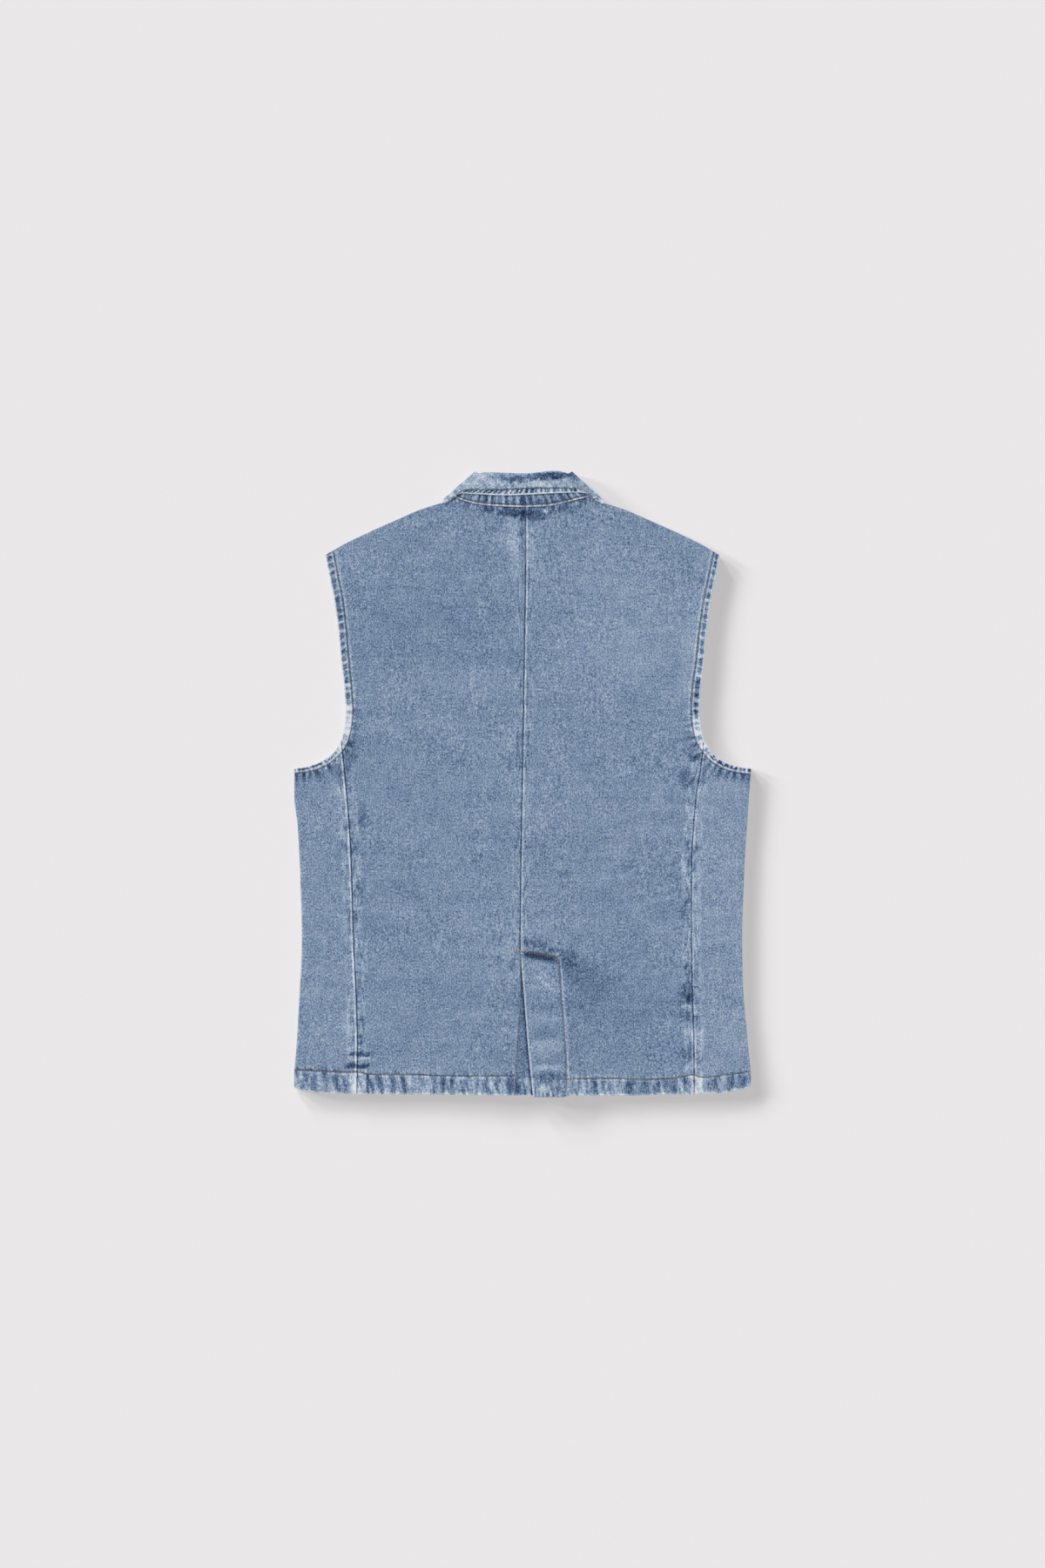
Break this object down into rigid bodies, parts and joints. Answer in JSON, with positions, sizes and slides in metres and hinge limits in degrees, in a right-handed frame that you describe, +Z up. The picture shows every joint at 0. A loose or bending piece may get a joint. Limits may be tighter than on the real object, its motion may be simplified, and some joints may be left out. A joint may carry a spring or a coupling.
{
  "type": "denim vest",
  "caption": "Sleeveless denim vest with a turned-down collar, buttoned front and centre back vent, laid flat on its front.",
  "frame": {"origin": "centre of the garment's footprint, on the floor that its front lies on", "axes": "+Y from the hem to the collar, +X to the right as seen from above the back, +Z up away from the floor"},
  "size_m": [0.524, 0.7179, 0.0095],
  "materials": {
    "denim": "washed indigo twill",
    "button_metal": "dull"
  },
  "bodies": {
    "root": {"back_left": "denim", "back_right": "denim", "side_left": "denim", "side_right": "denim", "front_left": "denim", "front_right": "denim", "collar_stand": "denim", "collar_leaf": "denim", "button_1": "button_metal", "button_2": "button_metal", "button_3": "button_metal", "button_4": "button_metal", "button_5": "button_metal"}
  },
  "joints": []
}
